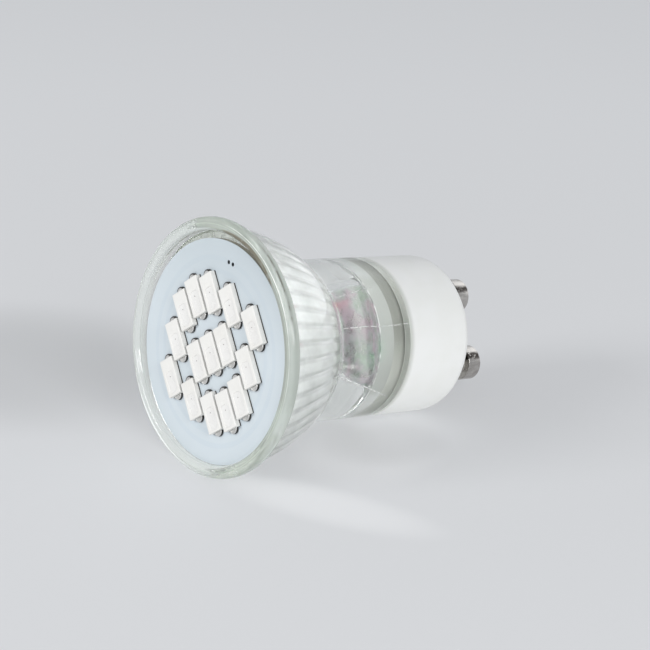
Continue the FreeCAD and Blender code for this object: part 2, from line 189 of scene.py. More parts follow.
def softOutline(corners, closed=False, steps=6):
    # outline through (radius, height, rounding) corners: each corner is a circular arc of its own rounding
    count = len(corners)
    points = []
    for index, (r, z, soft) in enumerate(corners):
        here = np.array((r, z))
        if soft == 0 or (not closed and index in (0, count - 1)):
            points.append(here)
            continue
        before = np.array(corners[index - 1][:2]) - here
        after = np.array(corners[(index + 1) % count][:2]) - here
        before = before / np.linalg.norm(before)
        after = after / np.linalg.norm(after)
        half = math.acos(float(np.clip(before @ after, -1, 1))) / 2
        centre = here + (before + after) / np.linalg.norm(before + after) * soft / math.sin(half)
        first = here + before * soft / math.tan(half) - centre
        last = here + after * soft / math.tan(half) - centre
        t = np.linspace(0, 1, steps + 1)[:, None]
        sweep = math.pi - 2 * half
        arc = first * np.sin((1 - t) * sweep) + last * np.sin(t * sweep)
        points.extend(centre + arc / math.sin(sweep))
    return np.array(points)


def turnedRings(outline, around):
    # surface of revolution: (r, z) and angle a give (r cos a, r sin a, z)
    angle = np.linspace(0, 2 * np.pi, around, endpoint=False)
    r = outline[:, :1]
    z = np.repeat(outline[:, 1:], around, axis=1)
    return np.stack([r * np.cos(angle), r * np.sin(angle), z], axis=-1)


def plateRings(levels, around):
    # stacked rounded rectangles: (centre x, centre y, half x, half y, corner, z) each give one closed ring
    angle = np.linspace(0, 2 * np.pi, around, endpoint=False) + np.pi / around
    c, s = np.cos(angle), np.sin(angle)
    table = np.array(levels, float)[:, :, None]
    cx, cy, hx, hy, corner, z = (table[:, k] for k in range(6))
    x = cx + np.sign(c) * (hx - corner) + corner * c
    y = cy + np.sign(s) * (hy - corner) + corner * s
    return np.stack([x, y, z + 0 * x], axis=-1)


def gridFaces(rings, closed):
    # corner points, faces and the row of each face: quads between neighbouring rings, and a fan
    # to a middle point at each open end; faces look outwards, by the sign of the enclosed volume
    rows, around = rings.shape[:2]
    vertices = rings.reshape(-1, 3)
    index = np.arange(rows * around).reshape(rows, around)
    upper = np.roll(index, -1, axis=0) if closed else index[1:]
    lower = index if closed else index[:-1]
    quads = [lower, np.roll(lower, -1, axis=1), np.roll(upper, -1, axis=1), upper]
    faces = np.stack(quads, axis=-1).reshape(-1, 4).tolist()
    quadRow = np.repeat(np.arange(len(lower)), around)
    if not closed:
        low, high = rows * around, rows * around + 1
        vertices = np.vstack([vertices, rings[0].mean(0), rings[-1].mean(0)])
        first = np.stack([np.roll(index[0], -1), index[0], np.full(around, low)], axis=-1)
        last = np.stack([index[-1], np.roll(index[-1], -1), np.full(around, high)], axis=-1)
        faces += first.tolist() + last.tolist()
        quadRow = np.concatenate([quadRow, np.full(around, 0), np.full(around, rows - 1)])
    a, b, c, d = (vertices[[face[k] for face in faces]] for k in (0, 1, 2, -1))
    volume = (a * (np.cross(b, c) + np.cross(c, d))).sum()
    if volume < 0:
        faces = [face[::-1] for face in faces]
    return vertices, faces, quadRow


def surface(name, rings, paints, closed=False, sharpRings=(), sharpEvery=0, sharpSpan=None, patches=None):
    # mesh from a grid of rings: edges are sharp along the rings in sharpRings, and across the rings
    # of sharpSpan at each sharpEvery-th point; patches gives the paint's number for each row of faces
    around = rings.shape[1]
    vertices, faces, quadRow = gridFaces(rings, closed)
    mesh = bpy.data.meshes.new(name)
    mesh.from_pydata(vertices.tolist(), [], faces)
    mesh.polygons.foreach_set("use_smooth", np.ones(len(faces), bool))
    edge = np.empty(len(mesh.edges) * 2, int)
    mesh.edges.foreach_get("vertices", edge)
    edge = edge.reshape(-1, 2)
    row, column = edge // around, edge % around
    inside = edge.max(1) < len(rings) * around
    sharp = inside & (row[:, 0] == row[:, 1]) & np.isin(row[:, 0], list(sharpRings))
    if sharpEvery:
        spanned = (row.min(1) >= sharpSpan[0]) & (row.max(1) <= sharpSpan[1])
        sharp |= inside & spanned & (column[:, 0] == column[:, 1]) & (column[:, 0] % sharpEvery == 0)
    mesh.attributes.new("sharp_edge", "BOOLEAN", "EDGE").data.foreach_set("value", sharp)
    made = bpy.data.objects.new(name, mesh)
    bpy.context.scene.collection.objects.link(made)
    for finish in paints:
        mesh.materials.append(finish.material)
    if patches is not None:
        mesh.polygons.foreach_set("material_index", np.asarray(patches)[quadRow])
    mesh.update()
    return made


def mount(made, finish, *nodes):
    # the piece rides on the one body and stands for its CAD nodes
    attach(made, "root")
    if nodes:
        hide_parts(*nodes)
    return made


# clear pressed glass: colour comes from the depth of glass that the light crosses.
# A haze is (colour, share of milky finish), and a fade is (from, to, value before, value after)
glassLook = {
    "tint": (0.993, 0.997, 0.994), "ior": 1.47, "depthColor": (0.33, 0.67, 0.17), "depthDensity": 2.2,
    "shade": (0.985, 0.995, 0.988), "milkShade": 0.6, "milkRough": 0.6, "waveSize": 3.2,
    "waveDepth": 0.008, "smudgeSize": 5, "smudgeFade": (0.45, 0.8, 0.0, 0.03),
    "soft": 0.15, "facetCount": 40, "facetStart": 2.0, "facetEdge": 16.5,
    "facetLean": 0.485, "facetHaze": ((0.90, 0.92, 0.91), 0.44), "facetRough": 0.13,
    "barFade": (-0.3, 0.9, 1.12, 0.70), "barClouds": (2.5, (0.3, 0.7, 0.85, 1.15)),
    # the facets' bars are painted highlights, lifted along the bowl and up where highlights fall
    "highlightAlong": ((3.5, 7.0, 1.35, 1.0), (8.5, 11.5, 1.05, 0.85)),
    "highlightUp": ((-1.0, 3.0, 1.10, 1.45), (5.5, 8.5, 1.0, 0.40)),
    "holeStart": 13.1, "holeRough": 0.2, "holeShare": 0.52, "holeSides": (-0.2, 0.2),
    "holeCorner": (-4.07, 17.24, 0.28), "holeCornerFade": (-0.2, 0.1, 1.0, 0.0),
    "holePatches": (1.6, (0.35, 0.65, 0.75, 1.2)), "tintSize": 2.2,
    "holeTints": ((0.36, (0.32, 0.40, 0.33)), (0.50, (0.40, 0.40, 0.41)), (0.62, (0.45, 0.35, 0.41))),
    "mottleSize": 0.9, "mottleDepth": 0.03, "hollowStart": 22.75,
    "hollowReach": 8.4, "hollowEnd": 25.1, "hollowHaze": ((0.80, 0.83, 0.80), 0.50),
    # the step's haze is a painted highlight, a pale broken line along the hollow's front ledge
    "stepGlintWidth": (0.02, 0.16), "stepGlintPatches": (1.1, (0.42, 0.60)),
    "stepHaze": ((0.90, 0.91, 0.90), 0.30), "fillingHaze": ((0.345, 0.355, 0.32), 0.75),
    # painted light: the filling is lighter by the joint and towards -Y, and the joint is lighter by the
    # spigot
    "fillingEndLight": ((0.40, 0.41, 0.37), (26.1, 27.0)),
    "fillingLowLight": ((0.72, 0.74, 0.69), (-7, -0.5, 1.0, 0.0)), "jointStart": 26.5,
    "jointHaze": ((0.56, 0.58, 0.53), 0.85),
    "spigotLight": ((0.90, 0.92, 0.86), (9.3, 9.5, 1.0, 0.0)),
    # the neck's haze is a painted shade that greys its upper side
    "neckTopShade": ((0.46, 0.48, 0.475), 0.20), "neckUp": (4.5, 9.5),
    "neckReach": (10.8, 11.1),
}

# rim of the glass: fine lines round it, painted shade in the gap by the board and on the front beside it, and
# on the side away from +X a greyer painted shade, a painted dark line and a painted highlight line
rimLook = {
    "end": 2.05, "haze": ((0.60, 0.66, 0.61), 0.38), "hazeAcross": (-12, 14, 1.0, 0.6),
    "wallReach": (15.77, 15.84, 1.0, 0.0), "lineHaze": ((0.42, 0.47, 0.41), 0.36),
    "lineWidth": (0.02, 0.09), "lineBreaks": (0.3, 0.6, 0.5, 1.0), "wallLine": 0.50,
    "beadLine": 16.62, "frontEnd": 0.6, "gapShade": ((0.20, 0.185, 0.14), 0.60),
    "gapEnds": (0.94, 1.22), "gapSlope": 0.8, "gapAcross": (-6, 8),
    "gapBreaks": (0.36, 0.52, 0.4, 1.0), "farAcross": (-11, -7, 1.0, 0.0),
    "farUp": (-12, -9), "greyShade": ((0.36, 0.39, 0.355), 0.40),
    "greyReach": (16.75, 16.95, 1.0, 0.0), "sideShade": ((0.16, 0.16, 0.14), 0.60),
    "sideLine": (0.66, 0.06, 0.16), "sideStart": 16.8,
    "sideUp": ((-1, 1), (9, 13, 1.0, 0.3)), "sideBreaks": (0.35, 0.5, 0.4, 1.0),
    "glintHaze": ((0.86, 0.89, 0.86), 0.32), "glintLine": (16.9, 0.02, 0.07),
    "glintEnd": 0.5, "glintUp": (-6, 2, 0.45, 1.0),
    "frontShadeHaze": ((0.17, 0.155, 0.115), 0.50), "frontShadeReach": (9.5, 0.1, 16.75),
    "dirtEdge": (-0.08, 0.05, 1.0, 0.0), "dirtAcross": (-9, -3, 1.0, 0.0),
    "dirtUp": (4.5, 6), "dirtBreaks": (0.3, 0.5, 0.6, 1.0),
}

# lines on the neck: the mould's parting line, raised and painted pale as its highlight, and painted pale
# streaks that stand for the hole's edges as the curve shows them
seamLook = {
    "turn": 181.5, "ends": (14.4, 26.3), "haze": ((0.90, 0.90, 0.90), 0.60),
    "height": 0.03, "width": (0.02, 0.10), "outside": (10, 10.5),
    "wanderSize": 1.5, "wander": 0.4, "breaks": (0.7, (0.4, 0.55, 0.25, 1.0)),
    # each streak lies in a sheet: normal and offset of the sheet, ends along the neck, strength
    "paintedStreaks": (
        ((0.4013, -0.8468, -0.3491), -3.185, (14.5, 24.4), 1.3),
        ((0.0007, -0.9833, 0.1822), -1.299, (15.4, 22.0), 0.9),
    ),
    "streakWidth": (0.02, 0.12), "streakWander": 0.25, "streakSide": -5,
}


def wallZones(finish):
    # zones of the walls by height and distance from the axis, each 1 inside and soft at its ends;
    # facets lie where distance + lean * height is under an edge, and the joint is outside the hollow
    look = glassLook
    x, y, z, radius = finish.coordinates()
    fade = finish.fades(look)
    soft = look["soft"]
    starts = [look[key] for key in ("facetStart", "holeStart", "hollowStart", "hollowEnd")]
    pastFront, pastHole, pastHollow, pastFilling = (finish.span(z, start, start + soft) for start in starts)
    edge = look["facetEdge"]
    inBowl = finish.span(radius + z * look["facetLean"], edge - soft, edge, 1.0, 0.0)
    inHollow = finish.span(radius, look["hollowReach"], look["hollowReach"] + soft, 1.0, 0.0)
    # the hole is dull on its side walls and, towards -Y, round the corner from them
    sides = fade(abs(x) - abs(y), "holeSides")
    cornerX, cornerZ, slope = look["holeCorner"]
    corner = fade(x - cornerX - (z - cornerZ) * slope, "holeCornerFade") * (y < 0)
    # the step is a painted highlight: a pale broken line along the hollow's front ledge
    patchSize, patchFade = look["stepGlintPatches"]
    step = finish.near(z - look["hollowStart"], *look["stepGlintWidth"]) * inHollow
    pastJoint = finish.span(z, look["jointStart"], look["jointStart"] + soft / 3)
    return {
        "facets": inBowl * pastFront * (1 - pastHole),
        "hole": sides.union(corner) * inHollow * pastHole * (1 - pastHollow),
        "hollow": inHollow * pastHollow * (1 - pastFilling),
        "step": step * finish.span(finish.noise(patchSize), *patchFade),
        "filling": inHollow * pastFilling,
        "joint": pastJoint * (1 - inHollow),
    }


def rimZones(finish, wander):
    # pairs of a zone and its haze: lines are where the distance to a height or a radius is near 0
    look = rimLook
    x, y, z, radius = finish.coordinates()
    fade = finish.fades(look)
    rim = finish.span(z, look["end"] - glassLook["soft"], look["end"], 1.0, 0.0)
    rim = rim * fade(x, "hazeAcross")
    onWall = fade(radius, "wallReach") * rim
    onFront = z < look["frontEnd"]
    wallLine = finish.near(z - look["wallLine"], *look["lineWidth"]) * onWall
    beadLine = finish.near(radius - look["beadLine"], *look["lineWidth"]) * onFront
    lineBreaks = fade(wander, "lineBreaks")
    # painted shade in the gap between the board and the recess wall
    gapStart, gapEnd = look["gapEnds"]
    gap = (z > gapStart) * (z < gapEnd) * onWall * fade(y * look["gapSlope"] - x, "gapAcross")
    farSide = fade(x, "farAcross") * fade(y, "farUp")
    # painted shade: the rim is greyer on the side away from +X
    grey = rim * farSide * fade(radius, "greyReach")
    # painted shade: a dark line along the bead's outer side, on the same side
    sideHeight, *sideWidth = look["sideLine"]
    side = farSide * finish.near(z - sideHeight, *sideWidth) * (radius > look["sideStart"])
    for up in look["sideUp"]:
        side = side * finish.span(y, *up)
    glintRadius, *glintWidth = look["glintLine"]
    glint = farSide * finish.near(radius - glintRadius, *glintWidth) * (z < look["glintEnd"])
    glint = glint * fade(y, "glintUp") * lineBreaks
    # painted shade beside the board's edge, on the rim's front: it reaches furthest out at one height on Y
    # and tapers to both sides
    widest, taper, reach = look["frontShadeReach"]
    frontShade = fade(radius + abs(y - widest) * taper - reach, "dirtEdge") * onFront
    frontShade = frontShade * fade(x, "dirtAcross") * fade(y, "dirtUp")
    return [
        (rim, look["haze"]),
        (grey, look["greyShade"]),
        (side * fade(wander, "sideBreaks"), look["sideShade"]),
        (glint, look["glintHaze"]),
        (frontShade * fade(wander, "dirtBreaks"), look["frontShadeHaze"]),
        (wallLine.union(beadLine) * lineBreaks, look["lineHaze"]),
        (gap * fade(wander, "gapBreaks"), look["gapShade"]),
    ]


def neckLines(finish, wander):
    # a line is where the distance to its sheet, plus a little wander, is near 0 on the outside of the neck
    look = seamLook
    x, y, z, radius = finish.coordinates()
    fade = finish.fades(look)
    onNeck = fade(radius, "outside")
    turn = math.radians(look["turn"])
    away = y * math.cos(turn) - x * math.sin(turn) + (wander - 0.5) * look["wander"]
    start, end = look["ends"]
    lines = finish.near(away, *look["width"]) * onNeck * (z > start) * (z < end)
    lines = lines * (x * math.cos(turn) + y * math.sin(turn) > 0)
    # painted pale streaks that stand for the hole's edges as the neck's curve shows them
    for normal, offset, (start, end), strength in look["paintedStreaks"]:
        away = finish.along(normal) * (1 / mm) - offset + (wander - 0.5) * look["streakWander"]
        streak = finish.near(away, *look["streakWidth"], strength) * (x < look["streakSide"])
        lines = lines.union(streak * onNeck * (z > start) * (z < end))
    size, breaks = look["breaks"]
    return lines * finish.span(finish.noise(size), *breaks)


def facetHighlightBars(finish):
    # painted highlights: each facet is milkiest along its middle, by the cosine of the turn times the number
    # of facets, and the bars are lifted along the bowl and up where highlights fall
    look = glassLook
    x, y, z, _ = finish.coordinates()
    turned = y.math("ARCTAN2", y, x) * look["facetCount"]
    size, fade = look["barClouds"]
    bars = finish.span(turned.math("COSINE", turned), *look["barFade"])
    bars = bars * finish.span(finish.noise(size, detail=4.0), *fade)
    for value, key in ((z, "highlightAlong"), (y, "highlightUp")):
        for fade in look[key]:
            bars = bars * finish.span(value, *fade)
    return bars


def clearGlass():
    # the share of milky finish is the sum of each zone's share, and its colour is the last zone's
    look = glassLook
    finish = Finish("clearGlass", "clear_glass")
    y, z, radius = finish.coordinates()[1:]
    zones = wallZones(finish)
    facets, hole, filling, joint = (zones[key] for key in ("facets", "hole", "filling", "joint"))
    wander = finish.noise(seamLook["wanderSize"], detail=2.0)
    seam = neckLines(finish, wander)
    fade = finish.fades(look)
    # painted shade: the outside of the neck is greyed towards +Y
    neck = fade(y, "neckUp") * fade(radius, "neckReach")
    neck = neck * (z > seamLook["ends"][0]) * (1 - joint)
    waves = finish.noise(look["waveSize"], detail=1.0) * look["waveDepth"]
    mottle = finish.noise(look["mottleSize"], detail=2.0, warp=0.6) * look["mottleDepth"]
    normal = finish.bump(waves + mottle * hole + seam * seamLook["height"], 1.0, 1.0)
    smudges = fade(finish.noise(look["smudgeSize"], detail=4.0), "smudgeFade")
    clear = finish.shader(
        Base_Color=asColor(look["tint"]),
        Roughness=smudges + hole * look["holeRough"] + facets * look["facetRough"],
        IOR=look["ior"],
        Transmission_Weight=1.0,
        Normal=normal,
    )
    patchSize, patchFade = look["holePatches"]
    patchy = finish.span(finish.noise(patchSize, detail=5.0, rough=0.6), *patchFade)
    facetColor, facetShare = look["facetHaze"]
    tints = finish.ramp(finish.noise(look["tintSize"], detail=2.0), look["holeTints"])
    color = finish.blend(hole, facetColor, tints)
    share = facets * facetHighlightBars(finish) * facetShare + hole * patchy * look["holeShare"]
    hazes = rimZones(finish, wander) + [(neck, look["neckTopShade"])]
    hazes += [(zones[key], look[key + "Haze"]) for key in ("hollow", "filling", "joint", "step")]
    for zone, (zoneColor, zoneShare) in hazes + [(seam, seamLook["haze"])]:
        color = finish.blend(zone, color, zoneColor)
        share = share + zone * zoneShare
    # painted light: lighter tones on the joint by the spigot, and on the filling by the joint and towards -Y
    tones = ((joint, radius, "spigotLight"), (filling, z, "fillingEndLight"), (filling, y, "fillingLowLight"))
    for zone, value, key in tones:
        tone, ends = look[key]
        color = finish.blend(zone * finish.span(value, *ends), color, tone)
    milky = finish.shader(Base_Color=color, Roughness=look["milkRough"], Normal=normal)
    wall = finish.node("ShaderNodeMixShader", {}, {0: share, 1: clear, 2: milky})
    # a shadow ray goes straight on through the glass, so that lamps light what is behind it
    shade = finish.node("ShaderNodeBsdfTransparent", {}, {"Color": asColor(look["shade"])})
    through = finish.node("ShaderNodeLightPath", out="Is Shadow Ray") * (1 - share * look["milkShade"])
    finish.use(finish.node("ShaderNodeMixShader", {}, {0: through, 1: wall, 2: shade}))
    sockets = {"Color": asColor(look["depthColor"]), "Density": look["depthDensity"]}
    return finish.use(finish.node("ShaderNodeVolumeAbsorption", {}, sockets), "Volume")


# bluish-white solder mask with faint copper tracks under it, a painted shade towards +Y and holes painted
# near-black as shade; the board's own axes are turned from X and Y by turn degrees, and its middle is at
# shift
boardLook = {
    "turn": -9.4, "shift": (0.18, -0.5), "mask": (0.572, 0.632, 0.670),
    "haze": ((0.66, 0.72, 0.76), (0.35, 0.7, 0.0, 0.12)), "hazeSize": 6,
    "far": ((0.45, 0.505, 0.535), (0.0, 18, 0.0, 0.6)), "shadeSlope": 0.5,
    "track": (0.547, 0.612, 0.658), "trackRadii": (12.6, 10.9),
    "trackWidth": (0.28, 0.42), "trackRise": 0.7, "frontFace": (1.12, 1.2),
    "backFace": (1.95, 2.0), "holeShade": (0.02, 0.02, 0.02), "edge": (0.24, 0.22, 0.17),
    "edgeReach": (13.8, 14.2), "back": (0.84, 0.85, 0.86), "rough": (0.3, 0.7, 0.38, 0.5),
    "grainSize": 0.12, "grainRise": 0.15, "bump": (0.25, 0.02),
}


def boardMask():
    # tracks lie where the distance from the board's middle is near a track's radius, a painted shade darkens
    # the tone with y - slope * x, and between the front and the back face the holes' walls are painted
    # near-black as shade and the outer edge takes the edge's colour
    look = boardLook
    finish = Finish("boardMask", "board_white")
    x, y, z, _ = finish.coordinates()
    fade = finish.fades(look)
    turn = math.radians(look["turn"])
    u = x * math.cos(turn) + y * math.sin(turn) - look["shift"][0]
    v = y * math.cos(turn) - x * math.sin(turn) - look["shift"][1]
    radius = (u * u + v * v) ** 0.5
    outer, inner = (finish.near(radius - track, *look["trackWidth"]) for track in look["trackRadii"])
    tracks = outer.union(inner)
    clouds = finish.noise(look["hazeSize"], detail=4.0)
    mask = finish.blend(tracks, look["mask"], look["track"])
    # painted shade: the far tone darkens the mask with y - slope * x
    for value, key in ((clouds, "haze"), (y - x * look["shadeSlope"], "far")):
        tone, ends = look[key]
        mask = finish.blend(finish.span(value, *ends), mask, tone)
    wall = finish.blend(fade(radius, "edgeReach"), look["holeShade"], look["edge"])
    color = finish.blend(fade(z, "frontFace"), mask, wall)
    color = finish.blend(fade(z, "backFace"), color, look["back"])
    grain = finish.noise(look["grainSize"], detail=2.0)
    normal = finish.bump(tracks * look["trackRise"] + grain * look["grainRise"], *look["bump"])
    return finish.principled(Base_Color=color, Roughness=fade(clouds, "rough"), Normal=normal)


# kinds of plain finish: size, detail and roughness of its clouds, fade of its second colour, detail of
# its grain, fade and rise of its roughness, and strength of its bump
plainKinds = {
    "white": ((4, 5.0, 0.5), (0.35, 0.7), 3.0, (0.3, 0.7), 0.10, 0.3),
    "metal": ((1.2, 5.0, 0.6), (0.4, 0.75), 2.0, (0.3, 0.8), 0.15, 0.3),
    "plastic": ((1.5, 4.0, 0.5), (0.4, 0.8), 3.0, (0.3, 0.7), 0.12, 0.2),
}

# plain finishes: kind, slot name, colour, second colour, least roughness, size and depth of the grain
plainLook = {
    "ledWhite": ("white", "led_white", (0.755, 0.748, 0.722), (0.73, 0.72, 0.69), 0.42, 0.10, 0.003),
    "ledResin": ("white", "led_resin", (0.75, 0.744, 0.727), (0.73, 0.72, 0.70), 0.22, 1.2, 0.0006),
    "ceramic": ("white", "base_ceramic", (0.85, 0.86, 0.85), (0.83, 0.84, 0.82), 0.34, 0.35, 0.012),
    "cement": ("white", "cement", (0.36, 0.37, 0.33), (0.31, 0.32, 0.285), 0.8, 0.25, 0.05),
    "frameTin": ("metal", "led_frame", (0.80, 0.79, 0.77), (0.58, 0.57, 0.55), 0.25, 0.08, 0.01),
    # the frame's tin again, painted near-black as shade: the shaded copy of the tin above
    "frameShade": ("metal", "led_frame", (0.085, 0.08, 0.075), (0.045, 0.042, 0.04), 0.45, 0.08, 0.01),
    "tin": ("metal", "tinned_lead", (0.70, 0.69, 0.67), (0.5, 0.49, 0.47), 0.25, 0.1, 0.01),
    "ledDot": ("plastic", "led_resin", (0.24, 0.22, 0.21), (0.30, 0.27, 0.25), 0.4, 0.15, 0.02),
    "laminate": ("plastic", "driver_laminate", (0.68, 0.69, 0.66), (0.62, 0.63, 0.60), 0.4, 0.15, 0.02),
    "blackMould": ("plastic", "component_black", (0.018,) * 3, (0.03,) * 3, 0.5, 0.15, 0.02),
    "ferrite": ("plastic", "choke_ferrite", (0.05, 0.045, 0.045), (0.08, 0.075, 0.07), 0.6, 0.15, 0.02),
    "sleeve": ("plastic", "capacitor_sleeve", (0.16, 0.36, 0.22), (0.20, 0.40, 0.26), 0.3, 0.15, 0.02),
    "lacquer": ("plastic", "fuse_coat", (0.40, 0.30, 0.50), (0.45, 0.35, 0.54), 0.4, 0.15, 0.02),
    "redWire": ("plastic", "wire_red", (0.42, 0.07, 0.08), (0.50, 0.10, 0.11), 0.35, 0.15, 0.02),
    "whiteWire": ("plastic", "wire_white", (0.76, 0.76, 0.73), (0.70, 0.70, 0.66), 0.35, 0.15, 0.02),
}

# zones with a darker tone: the base's front edge by the glass, a painted shade, and the cement in the filled
# hollow: coordinate, fade, tone
zoneLook = {
    "ceramic": (2, (26.6, 27.7, 1.0, 0.0), (0.55, 0.57, 0.53)),
    "cement": (3, (8.2, 8.4, 1.0, 0.0), (0.25, 0.26, 0.23)),
}
zoneClouds = (0.2, 0.8, 0.9, 1.0)


def plainFinish(name):
    # colour = mix of two colours by a smooth step of the clouds, then of the zone's tone by its fade;
    # roughness rises with the grain on whites and with the clouds on the others
    kind, slotName, first, second, rough, grainSize, grainDepth = plainLook[name]
    cloudSizes, mix, grainDetail, dull, rise, strength = plainKinds[kind]
    finish = Finish(name, slotName)
    clouds = finish.noise(*cloudSizes)
    grain = finish.noise(grainSize, grainDetail)
    color = finish.blend(finish.span(clouds, *mix), first, second)
    if name in zoneLook:
        axis, ends, tone = zoneLook[name]
        zone = finish.span(finish.coordinates()[axis], *ends) * finish.span(clouds, *zoneClouds)
        color = finish.blend(zone, color, tone)
    return finish.principled(
        Base_Color=color,
        Metallic=float(kind == "metal"),
        Roughness=finish.span(grain if kind == "white" else clouds, *dull, rough, rough + rise),
        Normal=finish.bump(grain, strength, grainDepth),
    )


# nickel plating of the pins: a painted dark reflection runs along each pin at one turn about its own axis
nickelLook = {
    "pinAt": 5.0, "bright": (0.55, 0.53, 0.505), "dull": (0.42, 0.40, 0.38),
    "dullFade": (0.4, 0.65), "cloudSize": 1.0, "cloudSqueeze": (1, 1, 0.4),
    "streak": (0.045, 0.04, 0.036), "darkReflectionTurn": 0.23, "darkReflectionHalf": (0.07, 0.30),
    "streakWander": 0.35, "streakBreaks": (0.36, 0.46), "speck": (0.10, 0.065, 0.04),
    "speckSize": 0.30, "rustFade": (0.62, 0.70), "rustClouds": (0.42, 0.58), "rustDull": 0.5,
    "rustRough": 0.3, "rough": (0.3, 0.8, 0.16, 0.32), "bump": (0.3, 0.012),
}


def wornNickel():
    # turn = arctangent of (y from the pin's middle) over (-x); the painted dark reflection lies where it is
    # near one turn, and rust lies where two clouds are both high
    look = nickelLook
    finish = Finish("nickel", "pin_nickel")
    x, y = finish.coordinates()[:2]
    fade = finish.fades(look)
    turn = y.math("ARCTAN2", y - y.math("SIGN", y) * look["pinAt"], x * -1.0)
    clouds = finish.noise(look["cloudSize"], detail=4.0, rough=0.6, squeeze=look["cloudSqueeze"])
    specks = finish.noise(look["speckSize"], detail=4.0, rough=0.7)
    beside = turn - look["darkReflectionTurn"] + (clouds - 0.5) * look["streakWander"]
    streak = finish.near(beside, *look["darkReflectionHalf"]) * fade(specks, "streakBreaks")
    rust = fade(specks, "rustFade") * fade(clouds, "rustClouds")
    base = finish.blend(fade(clouds, "dullFade"), look["bright"], look["dull"])
    base = finish.blend(streak, base, look["streak"])
    return finish.principled(
        Base_Color=finish.blend(rust, base, look["speck"]),
        Metallic=1 - rust * look["rustDull"],
        Roughness=fade(specks, "rough") + rust * look["rustRough"],
        Normal=finish.bump(specks, *look["bump"]),
    )


paint = {"glass": clearGlass(), "board": boardMask(), "nickel": wornNickel()}
paint.update({name: plainFinish(name) for name in plainLook})
print("finishes made")


# glass reflector: sizes in millimetres. Neck end, spigot and recess differ a hair from the CAD solid, so
# that glass and cement share no plane; the facets' pillow, roundings and wave are the scene's own.
# A level of the hole is (side of the square, rounding of its corners, height)
glassSize = {
    "facets": 40, "facetSteps": 8, "facetRowEnds": (0.0, 0.21, 0.835, 1.0), "facetRowSteps": 6,
    "facetFront": (14.2, 2.08), "facetBack": (8.6, 13.0), "facetCurve": 0.55, "facetPillow": 0.20,
    "holeSides": ((8.0, 1.8, 13.0), (11.2, 2.4, 21.6), (11.2, 2.4, 22.4)), "lipSoft": 0.25,
    "hollowRadius": 7.9, "spigotRadius": 9.17, "spigotEnd": 31.0, "neckRadius": 11.3, "neckEnd": 26.56,
    "bowlEnd": 14.1, "bowlBulge": 0.95, "rimRadius": 17.5, "beadRadius": 0.95, "recessRadius": 15.72,
    "recessDepth": 2.11, "waveOut": 0.015,
}


def squareRadius(angle, side, corner):
    # distance from the axis to a rounded square at each angle: straight side, or the corner's circle
    half = side / 2
    a = np.abs((angle + np.pi / 4) % (np.pi / 2) - np.pi / 4)
    straight = half / np.cos(a)
    middle = (half - corner) * math.sqrt(2)
    off = np.pi / 4 - a
    rounded = middle * np.cos(off) + np.sqrt(np.maximum(corner ** 2 - (middle * np.sin(off)) ** 2, 0))
    return np.where(straight * np.sin(a) > half - corner, rounded, straight)


def arcBetween(start, end, bulge, steps):
    # circular arc between two points whose middle stands off the chord by bulge, to the right of the way
    start, end = np.array(start), np.array(end)
    chord = end - start
    length = np.linalg.norm(chord)
    right = np.array((chord[1], -chord[0])) / length
    radius = (length ** 2 / 4 + bulge ** 2) / (2 * bulge)
    centre = (start + end) / 2 + right * (bulge - radius)
    half = math.asin(length / 2 / radius)
    t = np.linspace(-half, half, steps)[:, None]
    return centre + radius * (np.sin(t) * chord / length + np.cos(t) * right)


class RingStack:
    # a growing loop of rings, each a radius at every angle and one height
    def __init__(self, around):
        self.angle = np.linspace(0, 2 * np.pi, around, endpoint=False)
        self.radii = []
        self.heights = []
        self.sharp = []

    def add(self, radius, height, sharp=False):
        if sharp:
            self.sharp.append(len(self.radii))
        self.radii.append(np.broadcast_to(radius, self.angle.shape))
        self.heights.append(height)


def addFacets(stack):
    # flat sides: corner radius * cos(half a facet) / cos(angle from its middle), with a parabolic pillow;
    # corner radii follow the rows by a mix of t and t squared
    size = glassSize
    step = 2 * np.pi / size["facets"]
    share = (stack.angle % step) / step
    flat = math.cos(step / 2) / np.cos((share - 0.5) * step)
    pillow = 1 - (2 * share - 1) ** 2
    ends = np.array(size["facetRowEnds"])
    bend = (1 - size["facetCurve"]) * ends + size["facetCurve"] * ends ** 2
    (front, frontZ), (back, backZ) = size["facetFront"], size["facetBack"]
    corner = front + (back - front) * bend
    levels = frontZ + (backZ - frontZ) * ends
    steps, lastRow = size["facetRowSteps"], len(levels) - 2
    for row in range(lastRow + 1):
        for k in range(steps + (row == lastRow)):
            t = k / steps
            radius = corner[row] + (corner[row + 1] - corner[row]) * t
            lift = size["facetPillow"] * (1 - (2 * t - 1) ** 2) * pillow
            height = levels[row] + (levels[row + 1] - levels[row]) * t
            stack.add(radius * flat + lift, height, sharp=k in (0, steps))


def addHole(stack):
    # lip as a quarter circle, then rounded squares whose side and rounding grow evenly with the height
    (side, soft, floor), (backSide, backSoft, backZ), (_, _, stepZ) = glassSize["holeSides"]
    lip = glassSize["lipSoft"]
    front = squareRadius(stack.angle, side, soft)
    for t in np.linspace(0, np.pi / 2, 5):
        stack.add(front + lip * (1 - np.sin(t)), floor + lip * (1 - np.cos(t)))
    for t in np.linspace(0, 1, 14)[1:]:
        square = squareRadius(stack.angle, side + (backSide - side) * t, soft + (backSoft - soft) * t)
        stack.add(square, floor + lip + (backZ - floor - lip) * t)
    stack.add(squareRadius(stack.angle, backSide, backSoft), stepZ, sharp=True)


